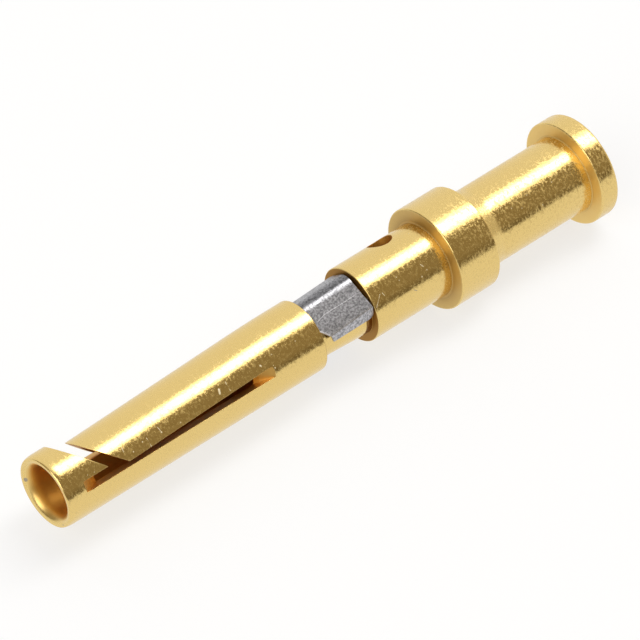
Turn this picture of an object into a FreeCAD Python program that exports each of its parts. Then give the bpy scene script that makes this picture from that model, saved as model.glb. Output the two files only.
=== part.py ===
import FreeCAD, Part
import math
import os
import Sketcher

# A turned female crimp contact with a sprung steel retaining clip.
# X runs from the mating face to the wire end and Z is up.
# The origin is the centre of the mating face. All sizes are in millimetres and degrees.
# The contact is modelled with its slots in the XY plane, and is rolled about X at the end.
SIZES = [
    # Lengths of the turned sections, from the mating face
    ("socket_length", 10.43),
    ("neck_length", 2.09),
    ("seat_length", 3.12),
    ("collar_length", 1.6),
    ("barrel_length", 4.4),
    ("flange_length", 0.73),
    # Diameters of the turned sections
    ("socket_diameter", 2.5),
    ("neck_front_diameter", 1.87),
    ("neck_rear_diameter", 2.04),
    ("seat_diameter", 2.62),
    ("collar_diameter", 3.6),
    ("barrel_diameter", 2.68),
    ("flange_diameter", 3.64),
    # Taper of the nose, and edge breaks
    ("nose_length", 0.25),
    ("nose_drop", 0.06),
    ("fine_edge", 0.03),
    ("collar_edge", 0.05),
    ("flange_edge", 0.12),
    # Bore for the mating pin, and bore for the wire with its sight hole
    ("pin_bore_diameter", 1.7),
    ("pin_bore_depth", 8.6),
    ("lead_in_width", 0.28),
    ("lead_in_depth", 0.4),
    ("land_length", 0.6),
    ("relief_length", 0.7),
    ("relief_width", 0.015),
    ("wire_bore_diameter", 1.75),
    ("wire_entry_width", 0.12),
    ("drill_point_angle", 118),
    ("sight_hole_diameter", 0.87),
    ("sight_hole_to_collar", 1.27),
    ("sight_hole_turn", 7),
    ("bore_past_sight_hole", 0.165),
    # Side slots, each a plunge of one saw disc as deep as the axis
    ("slot_width", 0.38),
    ("slot_middle", 4.55),
    ("saw_radius", 6.5),
    # Slanted cut that frees the front of the tongue from the closed ring
    ("slant_angle", 45),
    ("slant_width", 0.545),
    ("slant_position", 1.93),
    # The tongue is bent inwards from a little in front of the rear end of the slots
    ("root_margin", 0.15),
    ("tongue_bend", 2.4),
    # Retaining clip of bent strip round the neck
    ("clip_gap", 0.12),
    ("clip_fit", 0.005),
    ("strip_thickness", 0.06),
    ("clip_bend_radius", 0.5),
    ("facet_front", 1.04),
    ("facet_rear", 1.15),
    ("facet_turn", 57.5),
    ("side_turn", -23.3),
    ("corner_turn", 89.5),
    ("lip_turn", 129.5),
    ("lip_length", 0.41),
    ("grip_end_turn", -160),
    # Roll of the whole contact about its axis, as it lies
    ("contact_roll", 29.5),
]

# Stations along the axis
NECK_START = "dims.socket_length"
SEAT_START = "(dims.socket_length + dims.neck_length)"
COLLAR_START = "(dims.socket_length + dims.neck_length + dims.seat_length)"
BARREL_START = "(dims.socket_length + dims.neck_length + dims.seat_length + dims.collar_length)"
FLANGE_START = (
    "(dims.socket_length + dims.neck_length + dims.seat_length"
    " + dims.collar_length + dims.barrel_length)"
)
WIRE_END = (
    "(dims.socket_length + dims.neck_length + dims.seat_length"
    " + dims.collar_length + dims.barrel_length + dims.flange_length)"
)
# The bore guides the pin in a land inside the ring, and is a little wider behind it
LAND_END = "dims.lead_in_depth + dims.land_length"
RELIEVED = "(dims.pin_bore_diameter / 2 + dims.relief_width)"
# The sight hole stands in the seat, and the wire bore ends a little past it
SIGHT_HOLE = f"({COLLAR_START} - dims.sight_hole_to_collar)"
WIRE_BORE_FLOOR = f"({SIGHT_HOLE} - dims.sight_hole_diameter / 2 - dims.bore_past_sight_hole)"
# The tongue's root, where the saw has just gone through the wall of the bore
TONGUE_ROOT = (
    "(dims.slot_middle - dims.root_margin"
    f" + sqrt(dims.saw_radius ^ 2 - (dims.saw_radius - {RELIEVED}) ^ 2))"
)
ZERO = "0"
# How far from the axis a cutting outline reaches, clear of what it cuts
CLEAR = "dims.socket_diameter"
RIGHT_ANGLE = 90
HALF_TURN = 180
FULL_TURN = 360

doc = FreeCAD.newDocument("contact")
sheet = doc.addObject("Spreadsheet::Sheet", "dims")


def fill_sheet():
    """Write each driving size as a plain number with its name as the alias."""
    for row, (name, value) in enumerate(SIZES, start=1):
        sheet.set(f"A{row}", name)
        sheet.set(f"B{row}", str(value))
        sheet.setAlias(f"B{row}", name)
    doc.recompute()


def number(expression):
    """Give the present value of an expression of the sheet's names."""
    return float(sheet.evalExpression(expression))


def radius(name):
    """Half of a named diameter, as an expression."""
    return f"dims.{name}_diameter / 2"


def origin_plane(body, role):
    """One of the body's own origin planes."""
    return next(item for item in body.Origin.OriginFeatures if item.Role == role)


def sketch_on(body, name, role):
    """An empty sketch on one of the body's origin planes."""
    sketch = body.newObject("Sketcher::SketchObject", name)
    sketch.AttachmentSupport = [(origin_plane(body, role), "")]
    sketch.MapMode = "FlatFace"
    doc.recompute()
    return sketch


def bind(sketch, constraint, expression):
    """Add a constraint whose value follows an expression."""
    index = sketch.addConstraint(constraint)
    sketch.setExpression(f"Constraints[{index}]", expression)


def pin_vertex(sketch, line, across, up):
    """Hold the start of a line at a place given by two expressions."""
    if across == ZERO:
        sketch.addConstraint(Sketcher.Constraint("PointOnObject", line, 1, -2))
    else:
        place = Sketcher.Constraint("DistanceX", -1, 1, line, 1, number(across))
        bind(sketch, place, across)
    if up == ZERO:
        sketch.addConstraint(Sketcher.Constraint("PointOnObject", line, 1, -1))
    else:
        place = Sketcher.Constraint("DistanceY", -1, 1, line, 1, number(up))
        bind(sketch, place, up)


def outline(body, name, role, vertices):
    """A closed outline of straight lines through vertices given as expressions."""
    sketch = sketch_on(body, name, role)
    corners = [FreeCAD.Vector(number(x), number(y), 0) for x, y in vertices]
    count = len(corners)
    for index in range(count):
        following = corners[(index + 1) % count]
        sketch.addGeometry(Part.LineSegment(corners[index], following), False)
    for index in range(count):
        after = (index + 1) % count
        sketch.addConstraint(Sketcher.Constraint("Coincident", index, 2, after, 1))
    for index, (across, up) in enumerate(vertices):
        pin_vertex(sketch, index, across, up)
    doc.recompute()
    return sketch


def turn(body, kind, name, sketch):
    """Turn an outline all the way round the X axis."""
    feature = body.newObject(kind, name)
    feature.Profile = sketch
    feature.ReferenceAxis = (sketch, ["H_Axis"])
    feature.Angle = FULL_TURN
    doc.recompute()


def cut_through(body, name, sketch, depth=None):
    """Cut an outline right through, to both sides, or by a total depth about its plane."""
    feature = body.newObject("PartDesign::Pocket", name)
    feature.Profile = sketch
    feature.SideType = "Symmetric"
    if depth is None:
        feature.Type = "ThroughAll"
    else:
        feature.Type = "Length"
        feature.setExpression("Length", depth)
    doc.recompute()


def drill_point(bore):
    """How far the point of a drill goes on past its full width."""
    return f"{bore} / tan(dims.drill_point_angle / 2)"


def turned_blank(body):
    """The outside of the whole contact, with a tapered nose and the edge of each section broken."""
    socket, seat = radius("socket"), radius("seat")
    collar, flange, barrel = radius("collar"), radius("flange"), radius("barrel")
    fine, broken = "dims.fine_edge", "dims.collar_edge"
    vertices = [
        (ZERO, ZERO),
        (ZERO, f"{socket} - dims.nose_drop"),
        ("dims.nose_length", socket),
        (f"{NECK_START} - {fine}", socket),
        (NECK_START, f"{socket} - {fine}"),
        (NECK_START, radius("neck_front")),
        (SEAT_START, radius("neck_rear")),
        (SEAT_START, f"{seat} - {fine}"),
        (f"{SEAT_START} + {fine}", seat),
        (COLLAR_START, seat),
        (COLLAR_START, f"{collar} - {broken}"),
        (f"{COLLAR_START} + {broken}", collar),
        (f"{BARREL_START} - {broken}", collar),
        (BARREL_START, f"{collar} - {broken}"),
        (BARREL_START, barrel),
        (FLANGE_START, barrel),
        (FLANGE_START, f"{flange} - {fine}"),
        (f"{FLANGE_START} + {fine}", flange),
        (f"{WIRE_END} - dims.flange_edge", flange),
        (WIRE_END, f"{flange} - dims.flange_edge"),
        (WIRE_END, ZERO),
    ]
    sketch = outline(body, "blank_outline", "XZ_Plane", vertices)
    turn(body, "PartDesign::Revolution", "blank", sketch)


def pin_bore(body):
    """The bore for the mating pin, with its lead-in, its land and the point of the drill."""
    bore = radius("pin_bore")
    vertices = [
        (ZERO, ZERO),
        (ZERO, f"{bore} + dims.lead_in_width"),
        ("dims.lead_in_depth", bore),
        (LAND_END, bore),
        (f"{LAND_END} + dims.relief_length", RELIEVED),
        ("dims.pin_bore_depth", RELIEVED),
        (f"dims.pin_bore_depth + {drill_point(RELIEVED)}", ZERO),
    ]
    sketch = outline(body, "pin_bore_outline", "XZ_Plane", vertices)
    turn(body, "PartDesign::Groove", "pin_bore", sketch)


def wire_bore(body):
    """The crimp bore from the wire end, with its entry chamfer and the point of the drill."""
    bore = radius("wire_bore")
    vertices = [
        (WIRE_END, ZERO),
        (f"{WIRE_BORE_FLOOR} - {drill_point(bore)}", ZERO),
        (WIRE_BORE_FLOOR, bore),
        (f"{WIRE_END} - dims.wire_entry_width", bore),
        (WIRE_END, f"{bore} + dims.wire_entry_width"),
    ]
    sketch = outline(body, "wire_bore_outline", "XZ_Plane", vertices)
    turn(body, "PartDesign::Groove", "wire_bore", sketch)


def sight_hole(body):
    """The hole through one wall of the seat that shows the end of the wire."""
    sketch = sketch_on(body, "sight_hole_outline", "XY_Plane")
    sketch.AttachmentOffset = turned_about(-1, 0, "dims.sight_hole_turn")
    sketch.setExpression("AttachmentOffset.Rotation.Angle", "dims.sight_hole_turn")
    size = radius("sight_hole")
    centre = FreeCAD.Vector(number(SIGHT_HOLE), 0, 0)
    circle = Part.Circle(centre, FreeCAD.Vector(0, 0, 1), number(size))
    sketch.addGeometry(circle, False)
    bind(sketch, Sketcher.Constraint("Radius", 0, number(size)), size)
    place = Sketcher.Constraint("DistanceX", -1, 1, 0, 3, number(SIGHT_HOLE))
    bind(sketch, place, SIGHT_HOLE)
    sketch.addConstraint(Sketcher.Constraint("PointOnObject", 0, 3, -1))
    doc.recompute()
    hole = body.newObject("PartDesign::Pocket", "sight_hole")
    hole.Profile = sketch
    hole.Type = "ThroughAll"
    hole.Reversed = True
    doc.recompute()


def side_slots(body):
    """Two slots, one in each side, with the round run-out of the saw disc at their ends."""
    sketch = sketch_on(body, "slot_outline", "XY_Plane")
    middle, disc = "dims.slot_middle", "dims.saw_radius"
    for index, side in enumerate(("", "-")):
        height = f"{side}{disc}"
        centre = FreeCAD.Vector(number(middle), number(height), 0)
        sketch.addGeometry(Part.Circle(centre, FreeCAD.Vector(0, 0, 1), number(disc)), False)
        bind(sketch, Sketcher.Constraint("Radius", index, number(disc)), disc)
        bind(sketch, Sketcher.Constraint("DistanceX", -1, 1, index, 3, number(middle)), middle)
        bind(sketch, Sketcher.Constraint("DistanceY", -1, 1, index, 3, number(height)), height)
    doc.recompute()
    cut_through(body, "side_slots", sketch, "dims.slot_width")


def slant(foot, height):
    """A point of a slanted plane, from its foot in the middle of the slots and a height above it."""
    return f"{foot} - ({height}) / tan(dims.slant_angle)", height


def tongue_window(body):
    """Open the upper half between the closed ring and the tongue's root."""
    vertices = [
        ("dims.slant_position", ZERO),
        (TONGUE_ROOT, ZERO),
        (TONGUE_ROOT, CLEAR),
        slant("dims.slant_position", CLEAR),
    ]
    sketch = outline(body, "window_outline", "XZ_Plane", vertices)
    cut_through(body, "tongue_window", sketch)


def tongue_pad(body):
    """Half of the socket tube above the slots, carried forward from the root and inwards."""
    sketch = sketch_on(body, "tongue_outline", "YZ_Plane")
    sketch.setExpression("AttachmentOffset.Base.z", TONGUE_ROOT)
    edge = number("dims.slot_width / 2")
    axis = FreeCAD.Vector(0, 0, 0)
    sizes = [number(radius("socket")), number(RELIEVED)]
    for size in sizes:
        low = math.asin(edge / size)
        circle = Part.Circle(axis, FreeCAD.Vector(0, 0, 1), size)
        sketch.addGeometry(Part.ArcOfCircle(circle, low, math.pi - low), False)
    for side in (1, -1):
        ends = [FreeCAD.Vector(side * math.sqrt(size ** 2 - edge ** 2), edge, 0) for size in sizes]
        sketch.addGeometry(Part.LineSegment(*ends), False)
    make = Sketcher.Constraint
    sketch.addConstraint([
        make("Coincident", 0, 3, -1, 1), make("Coincident", 1, 3, -1, 1),
        make("Coincident", 0, 1, 2, 1), make("Coincident", 1, 1, 2, 2),
        make("Coincident", 0, 2, 3, 1), make("Coincident", 1, 2, 3, 2),
        make("Horizontal", 2), make("Horizontal", 3),
    ])
    bind(sketch, make("Radius", 0, sizes[0]), radius("socket"))
    bind(sketch, make("Radius", 1, sizes[1]), RELIEVED)
    for line in (2, 3):
        bind(sketch, make("DistanceY", -1, 1, line, 1, edge), "dims.slot_width / 2")
    doc.recompute()
    pad = body.newObject("PartDesign::Pad", "bent_half_tube")
    pad.Profile = sketch
    pad.Type = "Length"
    pad.UseCustomVector = True
    pad.AlongSketchNormal = True
    pad.Direction = FreeCAD.Vector(-1, 0, -number("tan(dims.tongue_bend)"))
    pad.setExpression("Direction.z", "-tan(dims.tongue_bend)")
    pad.setExpression("Length", TONGUE_ROOT)
    doc.recompute()


def tongue_trim(body):
    """Cut the front of the tongue to the far side of the slanted cut."""
    foot = "dims.slant_position + dims.slant_width / sin(dims.slant_angle)"
    vertices = [
        slant(foot, f"-{CLEAR}"),
        slant(foot, CLEAR),
        (f"-{CLEAR}", CLEAR),
        (f"-{CLEAR}", f"-{CLEAR}"),
    ]
    sketch = outline(body, "trim_outline", "XZ_Plane", vertices)
    cut_through(body, "tongue_trim", sketch)


def turned_about(x, y, turn_angle):
    """A placement at the origin, turned about an axis that lies in the XY plane."""
    turned = FreeCAD.Rotation(FreeCAD.Vector(x, y, 0), number(turn_angle))
    return FreeCAD.Placement(FreeCAD.Vector(0, 0, 0), turned)


def make_contact_body():
    """The one-piece turned contact, with the bent tongue joined at its root."""
    shank = doc.addObject("PartDesign::Body", "shank")
    turned_blank(shank)
    pin_bore(shank)
    wire_bore(shank)
    sight_hole(shank)
    side_slots(shank)
    tongue_window(shank)

    tongue = doc.addObject("PartDesign::Body", "tongue")
    tongue_pad(tongue)
    tongue_trim(tongue)

    contact = doc.addObject("Part::Fuse", "contact_body")
    contact.Label = "contact_body"
    contact.Base = shank
    contact.Tool = tongue
    roll(contact)
    return contact


def roll(part):
    """Turn a finished piece about the X axis to the way the contact lies."""
    part.Placement = turned_about(-1, 0, "dims.contact_roll")
    part.setExpression("Placement.Rotation.Angle", "dims.contact_roll")
    doc.recompute()


def polar(distance, turned):
    """The point in a cross plane at a distance from the axis, turned from Z towards -Y."""
    up = FreeCAD.Vector(0, distance, 0)
    return FreeCAD.Rotation(FreeCAD.Vector(0, 0, 1), turned).multVec(up)


def crossing(first_turn, first_distance, second_turn, second_distance):
    """Where two lines meet, each given by the turn of its normal and its distance from the axis."""
    between = math.radians(second_turn - first_turn)
    along = (second_distance - first_distance * math.cos(between)) / math.sin(between)
    return polar(first_distance, first_turn) + polar(along, first_turn + RIGHT_ANGLE)


def arc_between(centre, size, first_turn, last_turn):
    """An arc from one turn to a later one, both counted from Z towards -Y."""
    circle = Part.Circle(centre, FreeCAD.Vector(0, 0, 1), size)
    start, end = (math.radians(turned + RIGHT_ANGLE) for turned in (first_turn, last_turn))
    return Part.ArcOfCircle(circle, start, end)


def clip_section(body, name, station, neck, facet):
    """The bent strip in one cross plane, as an outer and an inner line joined at both ends.

    Each line is an arc that grips the neck, a straight side, a bend, a flat facet and a lip.
    """
    sketch = sketch_on(body, name, "YZ_Plane")
    sketch.setExpression("AttachmentOffset.Base.z", station)
    names = ("strip_thickness", "clip_bend_radius", "facet_turn", "side_turn", "corner_turn",
             "lip_turn", "lip_length", "grip_end_turn")
    strip, bend, facet_turn, side_turn, corner_turn, lip_turn, lip, end_turn = (
        number(f"dims.{item}") for item in names
    )
    inner_grip = f"{neck} + dims.clip_fit"
    grips = (number(f"{inner_grip} + dims.strip_thickness"), number(inner_grip))
    bends = (bend, bend - strip)
    facets = (number(facet), number(facet) - strip)
    centre = crossing(side_turn, grips[0] - bend, facet_turn, facets[0] - bend)
    corner = polar(facets[0] / math.cos(math.radians(corner_turn - facet_turn)), corner_turn)
    lip_distance = corner.dot(polar(1, lip_turn))
    lips = (lip_distance, lip_distance - strip)
    corners = [crossing(facet_turn, facets[i], lip_turn, lips[i]) for i in (0, 1)]
    tips = [corners[0] + polar(lip, lip_turn + RIGHT_ANGLE)]
    tips.append(tips[0] - polar(strip, lip_turn))
    ends = [polar(grips[i], end_turn) for i in (0, 1)]
    side_starts = [polar(grips[i], side_turn) for i in (0, 1)]
    side_ends = [centre + polar(bends[i], side_turn) for i in (0, 1)]
    facet_starts = [centre + polar(bends[i], facet_turn) for i in (0, 1)]
    axis = FreeCAD.Vector(0, 0, 0)
    sketch.addGeometry([
        arc_between(axis, grips[0], end_turn, side_turn),
        Part.LineSegment(side_starts[0], side_ends[0]),
        arc_between(centre, bends[0], side_turn, facet_turn),
        Part.LineSegment(facet_starts[0], corners[0]),
        Part.LineSegment(corners[0], tips[0]),
        Part.LineSegment(tips[0], tips[1]),
        Part.LineSegment(tips[1], corners[1]),
        Part.LineSegment(corners[1], facet_starts[1]),
        arc_between(centre, bends[1], side_turn, facet_turn),
        Part.LineSegment(side_ends[1], side_starts[1]),
        arc_between(axis, grips[1], end_turn, side_turn),
        Part.LineSegment(ends[1], ends[0]),
    ], False)
    to_corner = sketch.addGeometry(Part.LineSegment(axis, corners[0]), True)
    make = Sketcher.Constraint
    sketch.addConstraint([
        make("Tangent", 0, 2, 1, 1), make("Tangent", 1, 2, 2, 1), make("Tangent", 2, 2, 3, 1),
        make("Coincident", 3, 2, 4, 1), make("Coincident", 4, 2, 5, 1),
        make("Coincident", 5, 2, 6, 1), make("Coincident", 6, 2, 7, 1),
        make("Tangent", 7, 2, 8, 2), make("Tangent", 8, 1, 9, 1), make("Tangent", 9, 2, 10, 2),
        make("Coincident", 10, 1, 11, 1), make("Coincident", 11, 2, 0, 1),
        make("Coincident", 0, 3, -1, 1), make("Coincident", 10, 3, -1, 1),
        make("Coincident", 8, 3, 2, 3),
        make("Parallel", 3, 7), make("Parallel", 4, 6), make("Perpendicular", 4, 5),
        make("PointOnObject", -1, 1, 11),
        make("Coincident", to_corner, 1, -1, 1), make("Coincident", to_corner, 2, 4, 1),
    ])
    bind(sketch, make("Radius", 0, grips[0]), f"{inner_grip} + dims.strip_thickness")
    bind(sketch, make("Radius", 10, grips[1]), inner_grip)
    bind(sketch, make("Radius", 2, bends[0]), "dims.clip_bend_radius")
    bind(sketch, make("Radius", 8, bends[1]), "dims.clip_bend_radius - dims.strip_thickness")
    bind(sketch, make("Distance", -1, 1, 3, facets[0]), facet)
    bind(sketch, make("Distance", 5, strip), "dims.strip_thickness")
    bind(sketch, make("Distance", 4, lip), "dims.lip_length")
    turns = {
        1: ("side_turn", HALF_TURN), 3: ("facet_turn", HALF_TURN), 4: ("lip_turn", HALF_TURN),
        11: ("grip_end_turn", RIGHT_ANGLE), to_corner: ("corner_turn", RIGHT_ANGLE),
    }
    for line, (turned, extra) in turns.items():
        angle = f"dims.{turned} + {extra}"
        bind(sketch, make("Angle", line, math.radians(number(angle))), f"({angle}) * 1deg")
    doc.recompute()
    return sketch


def make_clip():
    """The steel clip: a bent strip that flares from its front section to its rear one."""
    body = doc.addObject("PartDesign::Body", "retaining_clip")
    body.Label = "retaining_clip"
    widening = "(dims.neck_rear_diameter - dims.neck_front_diameter) / 2 / dims.neck_length"
    front = f"{NECK_START} + dims.clip_gap"
    rear = f"{SEAT_START} - dims.clip_gap"
    front_neck = f"dims.neck_front_diameter / 2 + {widening} * dims.clip_gap"
    rear_neck = f"dims.neck_rear_diameter / 2 - {widening} * dims.clip_gap"
    front_section = clip_section(body, "clip_front", front, front_neck, "dims.facet_front")
    rear_section = clip_section(body, "clip_rear", rear, rear_neck, "dims.facet_rear")
    loft = body.newObject("PartDesign::AdditiveLoft", "bent_strip")
    loft.Profile = front_section
    loft.Sections = [rear_section]
    loft.Ruled = True
    doc.recompute()
    roll(body)
    return body


def check_model(parts):
    """Stop if any object has failed or a finished piece isn't a sound solid."""
    for item in doc.Objects:
        if "Invalid" in item.State or "Error" in item.State:
            raise RuntimeError(f"{item.Name} failed: {item.State}")
    for part in parts:
        if part.Shape.isNull() or not part.Shape.isValid():
            raise RuntimeError(f"{part.Label} is not a sound shape")


def write_parts(parts):
    """Write each piece to its own file and report its volume and bounding box."""
    os.makedirs("parts", exist_ok=True)
    for part in parts:
        part.Shape.exportStep(f"parts/{part.Label}.step")
        print(part.Label, round(part.Shape.Volume, 4), part.Shape.BoundBox)


fill_sheet()
pieces = [make_contact_body(), make_clip()]
doc.recompute()
check_model(pieces)
write_parts(pieces)
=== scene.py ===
import math

import bmesh
import bpy
import numpy as np
from bpy.props import FloatProperty, FloatVectorProperty, PointerProperty
from mathutils import Matrix, Vector


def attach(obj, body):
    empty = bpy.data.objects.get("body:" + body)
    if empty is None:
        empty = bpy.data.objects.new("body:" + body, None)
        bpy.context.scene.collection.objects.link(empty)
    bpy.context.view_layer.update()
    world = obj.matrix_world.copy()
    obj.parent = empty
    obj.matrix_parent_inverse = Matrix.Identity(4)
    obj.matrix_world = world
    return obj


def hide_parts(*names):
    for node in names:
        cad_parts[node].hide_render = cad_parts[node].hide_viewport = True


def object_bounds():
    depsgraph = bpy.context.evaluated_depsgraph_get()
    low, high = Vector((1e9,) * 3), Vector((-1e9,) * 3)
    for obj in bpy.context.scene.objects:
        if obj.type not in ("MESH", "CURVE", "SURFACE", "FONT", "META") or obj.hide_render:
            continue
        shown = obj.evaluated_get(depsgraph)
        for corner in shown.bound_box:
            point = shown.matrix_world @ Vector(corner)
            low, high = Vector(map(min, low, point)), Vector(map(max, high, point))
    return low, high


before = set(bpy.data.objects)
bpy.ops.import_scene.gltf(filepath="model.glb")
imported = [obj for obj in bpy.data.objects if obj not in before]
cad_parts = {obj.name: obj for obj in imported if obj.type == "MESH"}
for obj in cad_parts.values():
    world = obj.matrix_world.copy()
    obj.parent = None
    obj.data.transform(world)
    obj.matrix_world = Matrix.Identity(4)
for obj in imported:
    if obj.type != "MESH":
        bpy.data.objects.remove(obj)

# The CAD box, read before anything is added
CAD_LOW, CAD_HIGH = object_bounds()
MM = 0.001

bl_info = {
    "name": "Socket contact",
    "version": (1, 0, 0),
    "blender": (4, 5, 0),
    "location": "3D View > Sidebar > Contact",
    "description": "Builds a turned socket contact with its retaining clip and a studio stage",
    "category": "Add Mesh",
}

# Stations along the axis from the mating face, in millimetres
SOCKET_END = 10.43
SEAT_START = 12.52
COLLAR_START = 15.64
BARREL_START = 17.24
CONE_END = BARREL_START + 0.62
FLANGE_START = 21.64
WIRE_END = CAD_HIGH.x / MM

# Radii of the turned sections, in millimetres
SOCKET = 1.25
PIN_BORE = 0.85
NECK_FRONT = 0.935
NECK_REAR = 1.02
SEAT = 1.31
COLLAR = 1.8
CONE_ROOT = 1.5
BARREL = 1.34
FLANGE = 1.82
WIRE_BORE = 0.875

# Eased corners: how far from the corner each curve starts
SLEEVE_EASE = 0.03
NECK_EASE = 0.02
FILLET_EASE = 0.04
FRONT_RIM_EASE = 0.07
REAR_RIM_EASE = 0.05
CONE_EASE = 0.12
WIRE_RIM_EASE = 0.13
WIRE_BORE_EASE = 0.12
# Left between these eases and the points on the collar's and the flange's front faces
FACE_MARGIN = 0.02

# Slots sawn by a disc, and the slanted cut that frees the tongue
SLOT_HALF = 0.19
SLOT_MIDDLE = 4.55
SAW = 6.5
RING_CUT = 1.93
TONGUE_CUT = 2.7
BEND_SLOPE = math.tan(math.radians(2.03))
BEND_CENTRE = 8.95
BEND_REACH = 0.75

# Nose, lead-in and bores
NOSE_LENGTH = 0.32
NOSE_DROP = 0.07
LEAD_DEPTH = 0.45
LEAD_WIDTH = 0.29
PIN_BORE_END = 8.6
WIRE_BORE_END = 13.77
DRILL_HALF_ANGLE = math.radians(59)
SIGHT_HOLE = 0.435
SIGHT_STATION = WIRE_END - 8
SIGHT_TURN = math.radians(83)
ROLL = math.radians(29.5)

# The clip's strip: its ends on the neck, its bends, its facet and its lip
CLIP_FRONT = 10.47
CLIP_REAR = 12.4
CLIP_FIT = 0.03
STRIP = 0.06
CLIP_BEND = 0.5
CLIP_FOLD = 0.03
LIP_FRONT = 0.27
LIP_REAR = 0.4
LIP_ROUNDED = 0.125
FACET_FRONT = 1.035
FACET_REAR = 1.15
# The side, the facet, the lip and the end of the grip, turned from Z towards -Y before the roll
CLIP_TURNS = (-12, 57.5, 112, -160)
# The fold between the facet and the lip, turned the same way, at both ends of the clip
FOLD_FRONT = math.radians(91)
FOLD_REAR = math.radians(84.8)
# How far back the front edge is cut before the fold, at both its ends and at the lip's tip
CORNER_CUT = (0, 0.24, 0.27, 0.34)
# How far the rear edge reaches back at the fold and along the lip
REAR_REACH = 0.08

# Specks on the gold, where the photograph shows them: a point and the half width. They are glints of
# small dents, painted as a pale, less metallic colour.
SPECKS = (
    (3.91, -0.93, 0.77, 0.034), (3.18, -0.88, 0.80, 0.028), (2.75, -0.96, 0.72, 0.028),
    (4.64, -0.97, 0.74, 0.024), (1.22, -0.92, 0.83, 0.024), (0.97, -0.90, 0.86, 0.020),
    (8.42, -1.00, 0.76, 0.022), (8.44, -1.05, 0.68, 0.030), (8.54, -0.76, 0.99, 0.022),
    (9.49, -0.79, 0.97, 0.022), (14.80, -1.01, 0.83, 0.028), (14.54, -1.08, 0.74, 0.030),
    (13.70, -0.79, 1.04, 0.022), (13.74, -0.89, 0.96, 0.018), (15.14, 0.24, 1.29, 0.018),
    (18.55, -0.85, 1.04, 0.022), (18.23, -0.68, 1.16, 0.018), (20.31, -0.82, 1.06, 0.022),
    (19.65, -1.14, 0.70, 0.022), (19.28, -0.77, 1.10, 0.018), (18.89, -0.98, 0.92, 0.018),
)
# Scratches, given by both ends and the half width: wear, whose pale, less metallic colour paints a
# glint on them
SCRATCHES = (
    (6.35, -0.80, 0.92, 6.31, -0.89, 0.84, 0.045), (6.67, -0.72, 0.98, 6.68, -0.96, 0.77, 0.014),
    (8.00, -0.84, 0.91, 8.02, -0.86, 0.89, 0.034), (3.37, -0.85, 0.82, 3.38, -1.08, 0.60, 0.016),
    (3.88, -0.77, 0.89, 3.91, -0.91, 0.78, 0.014), (2.49, -0.72, 0.89, 2.46, -0.84, 0.81, 0.014),
    (12.89, -0.93, 0.92, 12.59, -1.12, 0.68, 0.015),
    (12.98, -0.93, 0.92, 13.03, -1.01, 0.83, 0.012),
    (14.68, -0.83, 1.01, 14.74, -0.91, 0.94, 0.016),
)
# Grey marks on the seat and on the mouth, given in the same way
STAINS = (
    (14.09, -1.195, 0.536, 14.20, -1.229, 0.455, 0.016),
    (0.04, 1.00, -0.19, 0.04, 1.00, -0.21, 0.085),
    (0.0, -0.83, -0.75, 0.0, -0.83, -0.74, 0.03),
)
# One long scratch on the clip, in three runs: wear, brightened with a painted glint
CLIP_SCRATCHES = (
    (10.637, -0.548, 0.893, 10.979, -0.485, 0.949, 0.016),
    (10.979, -0.485, 0.949, 11.721, -0.508, 0.986, 0.018),
    (11.721, -0.508, 0.986, 12.222, -0.513, 1.017, 0.014),
)
# Added to a scratch along each axis, so that a speck has a length too
LEAST_LENGTH = 1e-4
# Painted highlight and shade on the clip: its brightness by how its surface is turned from Z towards
# -Y after the roll, light on the bend's highlight and on the fold, dark just above that highlight and
# on the facet
CLIP_PAINTED_LIGHT = (
    (-160, 0.7), (-53, 0.75), (-30, 0.5), (-8, 0.3), (4, 0.25), (12, 0.65), (20, 0.6), (27, 0.35),
    (30, 0.35), (36, 1), (66, 1), (78, 0.75), (130, 0.75),
)

# How finely the walls are divided, and the farthest that welded corners may lie apart in metres
ARC_STEPS = 96
BAND_STEPS = 6
EASE_STEPS = 8
NOSE_STEPS = 12
DRILL_STEPS = 5
FACE_STEPS = 6
LONGEST_RUN = 0.25
WELD = 2e-7

# The grid round the sight hole: half its length, its rows, its reach in columns and its rings
WINDOW_HALF = 0.58
WINDOW_STEPS = 10
WINDOW_REACH = 21
WINDOW_RINGS = 6
RING_SPREAD = 0.8

# Points of the clip's line along its grip, bend, facet, fold and lip, and of its front cut
GRIP_STEPS = 60
BEND_STEPS = 24
FACET_STEPS = 10
FOLD_STEPS = 6
LIP_STEPS = 4
CUT_STEPS = 3
CLIP_STEPS = 24

# Zones of the gold's roughness and painted shade, by their distance from the edge, the wall or the
# radius named.
# Of two values, a mark starts at the first and is full at the second.
OUTER_RIM = 0.07
SEAT_RIM = 0.05
SEAT_EDGE = 0.1
SLEEVE_EDGE = 0.1
CONE_EDGE = 0.03
BARREL_EDGE = 0.05
NOSE_DULL = (0.13, 0.38)
BORE_BOUNCE_SHADE = (0.15, 0.03)
GAP_AHEAD = 0.08
GAP_BELOW = 0.03
FILLET_BESIDE = 0.045
FILLET_ABOVE = 0.05
# Shares of the sight hole's radius, the seat's and the neck's that bound the bores' faces
SIGHT_WITHIN = 1.01
SEAT_WITHIN = 0.995
NECK_WITHIN = 0.97

# Bounds by the normal's part along the axis, or outwards for the sawn walls
FACING = (0.1, 0.3)
RIM_FACING = (0.8, 1.0)
SLANT_FACING = 0.65
GAP_FACING = 0.5
SAWN_OUTWARDS = 0.95
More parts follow.
